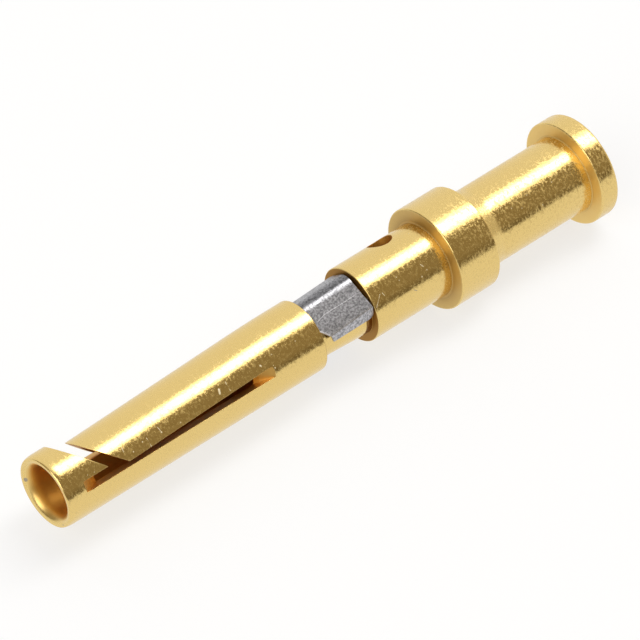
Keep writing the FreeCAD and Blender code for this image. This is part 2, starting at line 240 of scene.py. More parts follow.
# How dull the zones are and how much painted shade, bounced and plain, they get; of two values the
# second grows towards the base
SAWN_DULL = 0.7
SAWN_BOUNCE_SHADE = 0.7
SLANT_BOUNCE_SHADE = 0.1
COLLAR_BOUNCE_SHADE = (0.05, 0.25)
FLANGE_BOUNCE_SHADE = 0.1
COLLAR_SHADE = (0.24, 0.3)
FLANGE_SHADE = 0.08
GAP_SHADE = 0.75
GAP_FACE_SHADE = 0.5
COLLAR_FILLET_SHADE = 0.35
FLANGE_FILLET_SHADE = 0.15

# Sizes of the metals' noise, in waves per metre along each axis
GOLD_MARKS = (13000, 8500, 8500)
STEEL_MARKS = (15000, 15000, 15000)
GRAIN = (20000, 20000, 20000)
# How the noise shows: where streaks and points start and are full, and how strong they are
STREAKS = (0.47, 0.68)
POINTS = (0.51, 0.7)
MATTED = 0.46
BARREL_MATTED = 0.7
GRAIN_HEIGHT = 0.5
MATTED_PALE = 0.2
WEAR_AND_GLINT_PALE = 0.7
# The steel's blotches, from where to where in the noise and in the tone
BLOTCHES = (0.35, 0.65, 0.58, 1.44)
# How much the clip's scratch is brightened: wear with a painted glint
STEEL_WEAR_AND_GLINT = 0.35

# The studio by direction: parts of the unit vector where each light starts and is full
OVERHEAD_FULL = 0.05
OVERHEAD_REAR = (0.9, 0.75)
OVERHEAD_FRONT = (0.0, 0.3)
OVERHEAD_LOW = (0.2, 0.4)
END_LIGHT_FRONT = (-0.35, -0.6)
END_LIGHT_LOW = (0.22, 0.4)
END_LIGHT_SIDES = (0.25, 0.05), (-0.7, -0.5)
ROOM_LOW = (0.35, 0.05)
ROOM_LOW_SHARE = 0.6
SIDE_REAR = (0.6, 0.85)
WHITE_BEHIND = (-0.35, 0.3)
WHITE_FRONT = (-0.45, -0.1)

# The floor in metres, its paper, and how much of it is plain white
FLOOR_HALF = 0.6
PAPER = 0.95
PAPER_ROUGHNESS = 0.9
PAPER_SPECULAR = 0.1
FLOOR_WHITE = 0.7

# The camera: its lens and sensor, its place in millimetres, its view and its range in metres
LENS = 381.33
SENSOR = 36
CAMERA_PLACE = (-88.559, -114.025, 150.083)
CAMERA_VIEW = (0.4681, 0.5350, -0.7033)
CAMERA_RANGE = (0.01, 10)


def shares(count, power=1.0):
    """count + 1 shares from 0 to 1, t^power for equally spaced t."""
    return np.linspace(0, 1, count + 1) ** power


# Rows of the socket's walls: before the slots, up to the slanted cut, along the slots, behind
# them, and from the outer wall to the inner
FRONT_ROWS = shares(6)
RING_ROWS = shares(8)
MIDDLE_ROWS = shares(44)
REAR_ROWS = shares(16)
DEPTH_ROWS = shares(4)[:, None]


def lerp(first, last, share):
    """first + (last - first) share, for numbers or whole arrays."""
    return first + (last - first) * share


def rising(values, bounds):
    """Each value's share of the way from one bound to the other, kept from 0 to 1."""
    first, last = bounds
    return np.clip((values - first) / (last - first), 0, 1)


def rolled(points):
    """Local axes to the row frame: y' = y cos r + z sin r and z' = -y sin r + z cos r for roll r."""
    x, y, z = np.moveaxis(points, -1, 0)
    c, s = math.cos(ROLL), math.sin(ROLL)
    return np.stack([x, y * c + z * s, z * c - y * s], -1)


def ring_points(x, radius, angle):
    """Points (x, radius cos a, radius sin a) of a turned wall, for arrays that broadcast together."""
    x, radius, angle = np.broadcast_arrays(x, radius, angle)
    return np.stack([x, radius * np.cos(angle), radius * np.sin(angle)], -1)


def eased_corner(first, corner, last, steps):
    """The curve (1-t)^2 A + 2t(1-t) C + t^2 B from A to B round the corner C."""
    t = shares(steps)[:, None]
    return (1 - t) ** 2 * first + 2 * t * (1 - t) * corner + t ** 2 * last


def mesh_object(name, patches, material, smooth_angle=35):
    """One closed mesh from grids of points in millimetres, welded where their edges meet.

    Each patch is an array (rows, columns, 3), and gets a quad between each four neighbours.
    """
    corners, quads, start = [], [], 0
    for patch in patches:
        rows, columns = patch.shape[:2]
        index = start + np.arange(rows * columns).reshape(rows, columns)
        quad = np.stack([index[:-1, :-1], index[1:, :-1], index[1:, 1:], index[:-1, 1:]], -1)
        corners.append(rolled(patch.reshape(-1, 3)) * MM)
        quads.append(quad.reshape(-1, 4))
        start += rows * columns
    mesh = bpy.data.meshes.new(name)
    mesh.from_pydata(np.concatenate(corners).tolist(), [], np.concatenate(quads).tolist())
    shaped = bmesh.new()
    shaped.from_mesh(mesh)
    bmesh.ops.remove_doubles(shaped, verts=shaped.verts, dist=WELD)
    bmesh.ops.recalc_face_normals(shaped, faces=shaped.faces)
    open_edges = sum(not edge.is_manifold for edge in shaped.edges)
    shaped.to_mesh(mesh)
    shaped.free()
    if open_edges:
        raise RuntimeError(f"{name} has {open_edges} open edges")
    mesh.shade_smooth()
    mesh.set_sharp_from_angle(angle=math.radians(smooth_angle))
    mesh.materials.append(material)
    piece = bpy.data.objects.new(name, mesh)
    bpy.context.scene.collection.objects.link(piece)
    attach(piece, "root")
    return piece


def face_vectors(mesh, name):
    """One vector of every face, its normal or its centre, as an array (faces, 3)."""
    values = np.empty(len(mesh.polygons) * 3)
    mesh.polygons.foreach_get(name, values)
    return values.reshape(-1, 3)


def dull_and_shaded(piece):
    """Three marks on each face: how dull it is, and how much painted shade it gets, bounced and
    plain.

    A face is dull as far as it is turned along the axis, but not along the sleeve and the barrel,
    which are polished. The bounced shade is painted in the orange-brown that light bounced between
    the gold walls gives. Both painted shades grow down the collar's and the flange's faces. The
    bores, the sawn walls, the gap behind the clip and the fillets at both faces have their own
    values.
    """
    mesh = piece.data
    normals, centres = face_vectors(mesh, "normal"), face_vectors(mesh, "center") / MM
    x, radius = centres[:, 0], np.hypot(centres[:, 1], centres[:, 2])
    facing = np.abs(normals[:, 0])
    outwards = np.abs(normals[:, 1] * centres[:, 1] + normals[:, 2] * centres[:, 2]) / radius

    nose = x < LEAD_DEPTH
    ahead = x < BARREL_START
    sleeve = (x > NOSE_LENGTH) & (x < SOCKET_END - SLEEVE_EDGE)
    barrel = (x > BARREL_START + CONE_EDGE) & (x < FLANGE_START - BARREL_EDGE)
    seat_rim = (x < SEAT_START + SEAT_EDGE) & (radius > SEAT - SEAT_RIM)
    sighted = np.abs(x - SIGHT_STATION) < SIGHT_HOLE * SIGHT_WITHIN
    sighted &= radius < SEAT * SEAT_WITHIN
    inside = ((radius < NECK_FRONT * NECK_WITHIN) | sighted) & ~nose
    sawn = sleeve & (outwards < SAWN_OUTWARDS) & ~inside
    gap = (x > CLIP_REAR - GAP_AHEAD) & (x < SEAT_START + GAP_BELOW) & (radius < SEAT - GAP_BELOW)
    fillets = (np.abs(x - COLLAR_START) < FILLET_BESIDE) & (radius < SEAT + FILLET_ABOVE)
    fillets |= (np.abs(x - FLANGE_START) < FILLET_BESIDE) & (radius < BARREL + FILLET_ABOVE)

    rims = (radius > COLLAR - OUTER_RIM) | seat_rim
    dull = np.where(rims, rising(facing, RIM_FACING), rising(facing, FACING))
    dull[sleeve | barrel] = 0
    dull[nose] = rising(SOCKET - radius[nose], NOSE_DULL)
    # Painted shade, bounced and plain, grows from the collar's rim down to the seat, and down the
    # flange's face
    low_down = rising(radius, (COLLAR, SEAT))
    collar_bounce_shade = COLLAR_BOUNCE_SHADE[0] + COLLAR_BOUNCE_SHADE[1] * low_down
    bounce_shade = dull * np.where(ahead, collar_bounce_shade, FLANGE_BOUNCE_SHADE * low_down)
    collar_shade = COLLAR_SHADE[0] + COLLAR_SHADE[1] * low_down ** 2
    shade = dull * np.where(ahead, collar_shade, FLANGE_SHADE * low_down ** 2)

    # The sawn walls, the gap, the fillets, the lead-in and the bores get their own dullness and
    # painted shade
    dull[sawn] = SAWN_DULL
    bounce_shade[sawn] = np.where(facing[sawn] > SLANT_FACING, SLANT_BOUNCE_SHADE, SAWN_BOUNCE_SHADE)
    bounce_shade[gap] = 1
    shade[gap] = np.where(facing[gap] > GAP_FACING, GAP_FACE_SHADE, GAP_SHADE)
    dull[fillets] = 1
    shade[fillets] = np.where(ahead[fillets], COLLAR_FILLET_SHADE, FLANGE_FILLET_SHADE)
    bounce_shade[nose] = rising(radius[nose] - PIN_BORE, BORE_BOUNCE_SHADE)
    shade[nose | inside | sawn] = 0
    dull[inside], bounce_shade[inside] = 1, 1
    for name, values in (("dull", dull), ("bounce_shade", bounce_shade), ("shade", shade)):
        mesh.attributes.new(name, "FLOAT", "FACE").data.foreach_set("value", values)


def painted_light_by_turn(piece):
    """Painted highlight and shade on the clip: a brightness at each corner point, from how its normal
    is turned from Z towards -Y.
    """
    mesh = piece.data
    normals = np.empty(len(mesh.vertices) * 3)
    mesh.vertex_normals.foreach_get("vector", normals)
    normals = normals.reshape(-1, 3)
    turn = np.degrees(np.arctan2(-normals[:, 1], normals[:, 2]))
    painted_light = mesh.attributes.new("painted_light", "FLOAT", "POINT")
    painted_light.data.foreach_set("value", np.interp(turn, *zip(*CLIP_PAINTED_LIGHT)))


def break_edges(piece, width, angle=40):
    """A small bevel on the edges sharper than the angle, as tumbling and plating leave them."""
    bevel = piece.modifiers.new("edge_break", "BEVEL")
    bevel.width = width
    bevel.segments = 2
    bevel.limit_method = "ANGLE"
    bevel.angle_limit = math.radians(angle)
    bevel.harden_normals = True


def rounded(points):
    """A profile whose marked corners are eased.

    Each point is (x, radius, ease), and the curve at a corner starts and ends at the ease's
    distance from it.
    """
    line = []
    for index, (x, radius, ease) in enumerate(points):
        corner = np.array([x, radius])
        if not ease:
            line.append(corner[None])
            continue
        before, after = (np.array(points[index + step][:2]) - corner for step in (-1, 1))
        first = corner + before / np.linalg.norm(before) * ease
        last = corner + after / np.linalg.norm(after) * ease
        line.append(eased_corner(first, corner, last, EASE_STEPS))
    return np.concatenate(line)


def subdivided(line):
    """The same profile with its long straight runs cut into equal parts."""
    out = [line[:1]]
    for first, last in zip(line[:-1], line[1:]):
        count = max(1, math.ceil(np.linalg.norm(last - first) / LONGEST_RUN))
        out.append(lerp(first, last, shares(count)[1:, None]))
    return np.concatenate(out)


class Columns:
    """Angles of a wall's columns at one radius, in four arcs that meet at the slots' two walls.

    low = asin(half slot / radius); the near band runs from -low to low, the top arc from low to
    pi - low, the far band from pi - low to pi + low, and the bottom arc from there round to -low.
    """

    def __init__(self, radius):
        low = math.asin(SLOT_HALF / radius)
        self.near = np.linspace(-low, low, BAND_STEPS + 1)
        self.top = np.linspace(low, math.pi - low, ARC_STEPS + 1)
        self.far = np.linspace(math.pi - low, math.pi + low, BAND_STEPS + 1)
        self.bottom = np.linspace(math.pi + low, 2 * math.pi - low, ARC_STEPS + 1)
        self.whole = np.concatenate([self.near[:-1], self.top[:-1], self.far[:-1], self.bottom])


OUTER = Columns(SOCKET)
INNER = Columns(PIN_BORE)
# The column of the top arc that lies nearest to the sight hole
SIGHT_COLUMN = int(np.argmin(np.abs(OUTER.top - SIGHT_TURN)))


def slot_span(y):
    """Where the saw starts to cut and where it leaves: middle -+ sqrt(R^2 - (R - |y|)^2)."""
    reach = np.sqrt(SAW ** 2 - (SAW - np.abs(y)) ** 2)
    return SLOT_MIDDLE - reach, SLOT_MIDDLE + reach


def bent(points):
    """The tongue pressed inwards, and the sleeve above the slots drawn with it.

    With u = centre - x, the drop d is slope u in front of the bend and
    slope (u + reach)^2 / (4 reach) across it; z' = z - w d and x' = x - w z d', where
    w rises from 0 to 1 across the slot.
    """
    x, y, z = np.moveaxis(points, -1, 0)
    ahead = BEND_CENTRE - x
    curve = np.clip(ahead + BEND_REACH, 0, 2 * BEND_REACH)
    drop = BEND_SLOPE * (curve ** 2 / (4 * BEND_REACH) + np.maximum(ahead - BEND_REACH, 0))
    slope = BEND_SLOPE * curve / (2 * BEND_REACH)
    weight = rising(z, (-SLOT_HALF, SLOT_HALF))
    return np.stack([x - weight * z * slope, y, z - weight * drop], -1)


def wall_patches(radius, columns, front, rear):
    """The socket's outer or inner wall from one station to another, in grids.

    Rows run along x between stations that depend on the column: the front end, the slot's
    front end or the slanted cut at x = cut - z, the tongue's own cut, the slot's rear end
    and the rear end.
    """
    first, last = slot_span(radius * np.cos(columns.top[0]))
    ring_end = RING_CUT - radius * np.sin(columns.top)
    tongue_start = TONGUE_CUT - radius * np.sin(columns.top)
    share = (first - front) / (RING_CUT - SLOT_HALF - front)
    split = lerp(front, ring_end, share)

    def grid(start, end, rows, angles):
        start, end = (np.broadcast_to(station, angles.shape) for station in (start, end))
        return ring_points(lerp(start, end, rows[:, None]), radius, angles)

    patches = [
        grid(front, split, FRONT_ROWS, columns.top),
        grid(split, ring_end, RING_ROWS, columns.top),
        grid(front, first, FRONT_ROWS, columns.bottom),
        grid(first, last, MIDDLE_ROWS, columns.bottom),
        bent(grid(tongue_start, last, MIDDLE_ROWS, columns.top)),
        bent(grid(last, rear, REAR_ROWS, columns.top)),
        bent(grid(last, rear, REAR_ROWS, columns.bottom)),
    ]
    for band in (columns.near, columns.far):
        first, last = slot_span(radius * np.cos(band))
        patches.append(grid(front, first, FRONT_ROWS, band))
        patches.append(bent(grid(last, rear, REAR_ROWS, band)))
    return patches


def slot_walls():
    """The flat walls of both slots: y from the outer wall to the inner one, z = +-half slot."""
    patches = []
    for side in (1, -1):
        outside = side * math.sqrt(SOCKET ** 2 - SLOT_HALF ** 2)
        inside = side * math.sqrt(PIN_BORE ** 2 - SLOT_HALF ** 2)
        y = lerp(outside, inside, DEPTH_ROWS)
        first, last = slot_span(y)

        def wall(start, end, rows, height):
            x = lerp(start, end, rows)
            return np.stack([x, np.broadcast_to(y, x.shape), np.full(x.shape, height)], -1)

        patches.append(wall(first, last, MIDDLE_ROWS, -SLOT_HALF))
        patches.append(wall(first, RING_CUT - SLOT_HALF, RING_ROWS, SLOT_HALF))
        patches.append(bent(wall(TONGUE_CUT - SLOT_HALF, last, MIDDLE_ROWS, SLOT_HALF)))
    return patches


def through_wall(outer, inner):
    """Both coordinates of straight lines from the outer wall's angles to the inner wall's."""
    y = lerp(SOCKET * np.cos(outer), PIN_BORE * np.cos(inner), DEPTH_ROWS)
    z = lerp(SOCKET * np.sin(outer), PIN_BORE * np.sin(inner), DEPTH_ROWS)
    return y, z


def slot_ends():
    """The round run-outs of the saw at both ends of both slots."""
    patches = []
    for outer, inner in ((OUTER.near, INNER.near), (OUTER.far, INNER.far)):
        y, z = through_wall(outer, inner)
        first, last = slot_span(y)
        patches.append(np.stack([first, y, z], -1))
        patches.append(bent(np.stack([last, y, z], -1)))
    return patches


def slanted_faces():
    """Both faces of the slanted cut, on x = cut - z."""
    y, z = through_wall(OUTER.top, INNER.top)
    return [np.stack([RING_CUT - z, y, z], -1), bent(np.stack([TONGUE_CUT - z, y, z], -1))]


def mouth_face():
    """The mouth: a rounded nose, a flat ring and a bell-shaped lead-in to the bore.

    The nose is x = n (1 - sin t), r = R - drop (1 - cos t), and the lead-in is
    x = d (1 - cos t), r = bore + w (1 - sin t), for t from 0 to a right angle.
    """
    turn = shares(NOSE_STEPS) * math.pi / 2
    nose_x = NOSE_LENGTH * (1 - np.sin(turn))
    nose_r = SOCKET - NOSE_DROP * (1 - np.cos(turn))
    lead_x = LEAD_DEPTH * (1 - np.cos(turn))
    lead_r = PIN_BORE + LEAD_WIDTH * (1 - np.sin(turn))
    stations = np.concatenate([nose_x, lead_x])
    radii = np.concatenate([nose_r, lead_r])
    return np.stack([ring_points(x, r, Columns(r).whole) for x, r in zip(stations, radii)])


def drill_point(station, radius, columns, ahead):
    """The cone that a drill leaves, from the bore's wall to the axis, pointing ahead along x."""
    depth = radius / math.tan(DRILL_HALF_ANGLE)
    share = shares(DRILL_STEPS)[:, None]
    return ring_points(station + ahead * depth * share, radius * (1 - share), columns)


def turned(line):
    """A profile of (x, radius) turned about the axis."""
    return ring_points(line[:, :1], line[:, 1:], OUTER.whole)


def window(radius, rows):
    """The grid's lines round the sight hole, drawn in to the hole's edge.

    The hole's edge is x = x0 + a cos p, angle = a0 + asin(a sin p / radius), where p is the
    direction of each point of the window's border from the hole's centre.
    """
    angles = OUTER.top[SIGHT_COLUMN - WINDOW_REACH:SIGHT_COLUMN + WINDOW_REACH + 1]
    border = np.concatenate([
        np.stack([np.full(angles.size, rows[0]), angles], -1)[:-1],
        np.stack([rows, np.full(rows.size, angles[-1])], -1)[:-1],
        np.stack([np.full(angles.size, rows[-1]), angles[::-1]], -1)[:-1],
        np.stack([rows[::-1], np.full(rows.size, angles[0])], -1),
    ])
    away = np.arctan2((border[:, 1] - SIGHT_TURN) * SEAT, border[:, 0] - SIGHT_STATION)
    edge = np.stack([
        SIGHT_STATION + SIGHT_HOLE * np.cos(away),
        SIGHT_TURN + np.arcsin(SIGHT_HOLE * np.sin(away) / radius),
    ], -1)
    spread = lerp(border, edge, shares(WINDOW_RINGS, RING_SPREAD)[:, None, None])
    return ring_points(spread[..., 0], radius, spread[..., 1])


def around_window(radius, rows):
    """The rows of the wall beside the window, over the rest of the columns."""
    middle = SIGHT_COLUMN + BAND_STEPS
    low, high = middle - WINDOW_REACH, middle + WINDOW_REACH
    before, after = OUTER.whole[:low + 1], OUTER.whole[high:]
    return [ring_points(rows[:, None], radius, before), ring_points(rows[:, None], radius, after)]


def face_points(station, base, rim):
    """Points up a flat face, between the curves at its base and at its rim."""
    low, high = base + FILLET_EASE + FACE_MARGIN, rim - FRONT_RIM_EASE - FACE_MARGIN
    return [(station, radius, 0) for radius in lerp(low, high, shares(FACE_STEPS))]


def shank_patches():
    """The outside from the sleeve's rear edge to the wire end, and the wire bore.

    The first ease is a little less than its run, so that no two points fall together.
    """
    rows = lerp(SIGHT_STATION - WINDOW_HALF, SIGHT_STATION + WINDOW_HALF, shares(WINDOW_STEPS))
    front = rounded([
        (SOCKET_END - SLEEVE_EASE, SOCKET, 0),
        (SOCKET_END, SOCKET, SLEEVE_EASE * 0.99),
        (SOCKET_END, NECK_FRONT, NECK_EASE),
        (SEAT_START, NECK_REAR, NECK_EASE),
        (SEAT_START, SEAT, FILLET_EASE),
        (rows[0], SEAT, 0),
    ])
    rear = rounded([
        (rows[-1], SEAT, 0),
        (COLLAR_START, SEAT, FILLET_EASE),
        *face_points(COLLAR_START, SEAT, COLLAR),
        (COLLAR_START, COLLAR, FRONT_RIM_EASE),
        (BARREL_START, COLLAR, REAR_RIM_EASE),
        (BARREL_START, CONE_ROOT, REAR_RIM_EASE),
        (CONE_END, BARREL, CONE_EASE),
        (FLANGE_START, BARREL, FILLET_EASE),
        *face_points(FLANGE_START, BARREL, FLANGE),
        (FLANGE_START, FLANGE, FRONT_RIM_EASE),
        (WIRE_END, FLANGE, WIRE_RIM_EASE),
        (WIRE_END, WIRE_BORE, WIRE_BORE_EASE),
        (rows[-1], WIRE_BORE, 0),
    ])
    floor = np.array([[rows[0], WIRE_BORE], [WIRE_BORE_END, WIRE_BORE]])
    outer_rim, inner_rim = window(SEAT, rows), window(WIRE_BORE, rows)
    return [
        turned(subdivided(front)),
        turned(subdivided(rear)),
        turned(floor),
        drill_point(WIRE_BORE_END, WIRE_BORE, OUTER.whole, -1),
        *around_window(SEAT, rows),
        *around_window(WIRE_BORE, rows),
        outer_rim,
        inner_rim,
        lerp(outer_rim[-1], inner_rim[-1], DEPTH_ROWS[..., None]),
    ]


def clip_line(neck, facet, fold_turn, lip):
    """The strip's outer line in one cross plane, from its grip round the neck to the lip's tip.

    Angles are turned from Z towards -Y. The line is an arc of the neck, a bend, a flat facet at
    the given distance from the axis, a fold and the lip.
    """
    grip = neck + CLIP_FIT + STRIP

    def polar(distance, turned_by):
        return np.stack([-distance * np.sin(turned_by), distance * np.cos(turned_by)], -1)

    def meet(turn_a, reach_a, turn_b, reach_b):
        between = turn_b - turn_a
        along = (reach_b - reach_a * math.cos(between)) / math.sin(between)
        return polar(reach_a, turn_a) + polar(along, turn_a + math.pi / 2)

    side, flat, lip_turn, grip_end = (math.radians(turned_by) for turned_by in CLIP_TURNS)
    centre = meet(side, grip - CLIP_BEND, flat, facet - CLIP_BEND)
    corner = polar(facet / math.cos(fold_turn - flat), fold_turn)
    along_flat, along_lip = polar(1.0, flat + math.pi / 2), polar(1.0, lip_turn + math.pi / 2)
    start, end = corner - along_flat * CLIP_FOLD, corner + along_lip * CLIP_FOLD
    return np.concatenate([
        polar(grip, lerp(grip_end, side, shares(GRIP_STEPS)[:-1])),
        centre + polar(CLIP_BEND, lerp(side, flat, shares(BEND_STEPS))),
        lerp(centre + polar(CLIP_BEND, flat), start, shares(FACET_STEPS)[1:-1, None]),
        eased_corner(start, corner, end, FOLD_STEPS),
        lerp(end, corner + along_lip * lip, shares(LIP_STEPS)[1:, None]),
    ])


def clip_patches():
    """The strip between its outer line and the same line moved inwards by its thickness.

    The lip widens evenly towards the rear, and its last eighth is rounded off as
    sqrt(1 - u^2 / 2) for u from 0 to 1. Each point's station is moved back by the slanted cut
    at the front, which fades out towards the rear, and by the reach of the rear edge, which
    fades out towards the front.
    """
    facet_start = GRIP_STEPS + BEND_STEPS
    fold_start = facet_start + FACET_STEPS
    fold_end = fold_start + FOLD_STEPS
    tip = fold_end + LIP_STEPS
    order = np.arange(tip + 1)
    cut = np.interp(order, (fold_start - CUT_STEPS, fold_start, fold_end, tip), CORNER_CUT)
    reach = np.interp(order, (facet_start, fold_start), (0, REAR_REACH))
    sections = []
    for share in shares(CLIP_STEPS):
        station = lerp(CLIP_FRONT, CLIP_REAR, share)
        neck = lerp(NECK_FRONT, NECK_REAR, (station - SOCKET_END) / (SEAT_START - SOCKET_END))
        past = max(0.0, share - 1 + LIP_ROUNDED) / LIP_ROUNDED
        lip = lerp(LIP_FRONT, LIP_REAR, share) * math.sqrt(1 - past * past / 2)
        fold_turn = lerp(FOLD_FRONT, FOLD_REAR, share)
        outer = clip_line(neck, lerp(FACET_FRONT, FACET_REAR, share), fold_turn, lip)
        stations = station + (1 - share) * cut + share * reach
        along = np.gradient(outer, axis=0)
        along /= np.linalg.norm(along, axis=1, keepdims=True)
        inner = outer + STRIP * np.stack([-along[:, 1], along[:, 0]], -1)
        loop = np.concatenate([outer, inner[::-1], outer[:1]])
        stations = np.concatenate([stations, stations[::-1], stations[:1]])
        sections.append(np.insert(loop, 0, stations, axis=1))
    skin = np.stack(sections)
    count = skin.shape[1] // 2
    ends = [np.stack([end[:count], end[2 * count - 1:count - 1:-1]]) for end in (skin[0], skin[-1])]
    return [skin, *ends]


def link(tree, source, target):
    """Join one socket to another."""
    tree.links.new(source, target)


def node(tree, kind, **values):
    """A node of one kind with its properties set and, by name, its sockets."""
    made = tree.nodes.new(kind)
    for name, value in values.items():
        if name in made.inputs:
            made.inputs[name].default_value = value
        else:
            setattr(made, name, value)
    return made


def group(name, sockets_in, sockets_out):
    """An empty shader group with its inputs and outputs, and its two end nodes."""
    made = bpy.data.node_groups.new(name, "ShaderNodeTree")
    for way, sockets in (("INPUT", sockets_in), ("OUTPUT", sockets_out)):
        for label, kind in sockets:
            made.interface.new_socket(label, in_out=way, socket_type=kind)
    return made, node(made, "NodeGroupInput"), node(made, "NodeGroupOutput")


def placed(tree, name, build):
    """A node of the named group, which is built where it is first needed."""
    shared = bpy.data.node_groups.get(name) or build()
    return node(tree, "ShaderNodeGroup", node_tree=shared)


def vector_math(tree, operation, first, second):
    """A vector operation on two sockets."""
    made = node(tree, "ShaderNodeVectorMath", operation=operation)
    link(tree, first, made.inputs[0])
    link(tree, second, made.inputs[1])
    return made


def math_node(tree, operation, *values):
    """A number operation on sockets and constants."""
    made = node(tree, "ShaderNodeMath", operation=operation)
    for index, value in enumerate(values):
        if isinstance(value, bpy.types.NodeSocket):
            link(tree, value, made.inputs[index])
        else:
            made.inputs[index].default_value = value
    return made.outputs["Value"]


def times(tree, first, *others):
    """The product of several sockets."""
    for other in others:
        first = math_node(tree, "MULTIPLY", first, other)
    return first


def eased(tree, value, first, last):
    """A smooth step of a value: 0 at the first bound and 1 at the last."""
    made = node(tree, "ShaderNodeMapRange", interpolation_type="SMOOTHSTEP")
    made.inputs["From Min"].default_value = first
    made.inputs["From Max"].default_value = last
    link(tree, value, made.inputs["Value"])
    return made.outputs["Result"]


def mixed(tree, factor, first, last):
    """A colour between two, each a socket or a constant."""
    made = node(tree, "ShaderNodeMix", data_type="RGBA")
    link(tree, factor, made.inputs["Factor"])
    for name, color in (("A", first), ("B", last)):
        if isinstance(color, bpy.types.NodeSocket):
            link(tree, color, made.inputs[name])
        else:
            made.inputs[name].default_value = (*color, 1)
    return made.outputs["Result"]


def attribute(tree, name):
    """The value of one of the mesh's own attributes."""
    made = node(tree, "ShaderNodeAttribute", attribute_name=name, attribute_type="GEOMETRY")
    return made.outputs["Fac"]


def bumped(tree, height, distance, shader):
    """Bump of a height on the shader's normal, with the distance in metres."""
    bump = node(tree, "ShaderNodeBump", Strength=1.0, Distance=distance)
    link(tree, height, bump.inputs["Height"])
    link(tree, bump.outputs["Normal"], shader.inputs["Normal"])


def grain_group():
    """Turning marks and fine grain: noise on Object coordinates, stretched along the marks."""
    vector, number = "NodeSocketVector", "NodeSocketFloat"
    tree, begin, end = group(
        "metal_grain", [("Marks Scale", vector), ("Grain Scale", vector)],
        [("Marks", number), ("Grain", number)],
    )
    place = node(tree, "ShaderNodeTexCoord")
    for name, detail in (("Marks", 2.0), ("Grain", 3.0)):
        scale = begin.outputs[name + " Scale"]
        spread = vector_math(tree, "MULTIPLY", place.outputs["Object"], scale)
        noise = node(tree, "ShaderNodeTexNoise", Scale=1.0, Detail=detail)
        link(tree, spread.outputs["Vector"], noise.inputs["Vector"])
        link(tree, noise.outputs["Fac"], end.inputs[name])
    return tree


def scratch_group():
    """How near a point is to a line from one end to the other: 1 within half the width to 0."""
    vector, number = "NodeSocketVector", "NodeSocketFloat"
    tree, begin, end = group(
        "scratch", [("From", vector), ("Along", vector), ("Width", number)], [("Mask", number)],
    )
    place = node(tree, "ShaderNodeTexCoord")
    away = vector_math(tree, "SUBTRACT", place.outputs["Object"], begin.outputs["From"])
    reach = vector_math(tree, "DOT_PRODUCT", away.outputs["Vector"], begin.outputs["Along"])
    length = vector_math(tree, "DOT_PRODUCT", begin.outputs["Along"], begin.outputs["Along"])
    share = node(tree, "ShaderNodeMath", operation="DIVIDE", use_clamp=True)
    link(tree, reach.outputs["Value"], share.inputs[0])
    link(tree, length.outputs["Value"], share.inputs[1])
    along = node(tree, "ShaderNodeVectorMath", operation="SCALE")
    link(tree, begin.outputs["Along"], along.inputs["Vector"])
    link(tree, share.outputs["Value"], along.inputs["Scale"])
    off = vector_math(tree, "DISTANCE", away.outputs["Vector"], along.outputs["Vector"])
    made = node(tree, "ShaderNodeMapRange", interpolation_type="SMOOTHSTEP")
    made.inputs["To Min"].default_value = 1
    made.inputs["To Max"].default_value = 0
    link(tree, math_node(tree, "MULTIPLY", begin.outputs["Width"], 0.5), made.inputs["From Min"])
    link(tree, begin.outputs["Width"], made.inputs["From Max"])
    link(tree, off.outputs["Value"], made.inputs["Value"])
    link(tree, made.outputs["Result"], end.inputs["Mask"])
    return tree


def scratches(tree, lines):
    """The strongest mask of all the scratches given by both ends and half width in millimetres."""
    mask = 0.0
    for line in lines:
        first, last, width = np.array(line[:3]), np.array(line[3:6]), line[6]
        one = placed(tree, "scratch", scratch_group)
        one.inputs["From"].default_value = first * MM
        one.inputs["Along"].default_value = (last - first + LEAST_LENGTH) * MM
        one.inputs["Width"].default_value = width * MM
        mask = math_node(tree, "MAXIMUM", mask, one.outputs["Mask"])
    return mask


def metal(name, marks_scale):
    """A new metal: its material, its tree, its shader and its grain node."""
    material = bpy.data.materials.new(name)
    material.use_nodes = True
    tree = material.node_tree
    shader = tree.nodes["Principled BSDF"]
    shader.inputs["Metallic"].default_value = 1.0
    grain = placed(tree, "metal_grain", grain_group)
    grain.inputs["Marks Scale"].default_value = marks_scale
    grain.inputs["Grain Scale"].default_value = GRAIN
    return material, tree, shader, grain


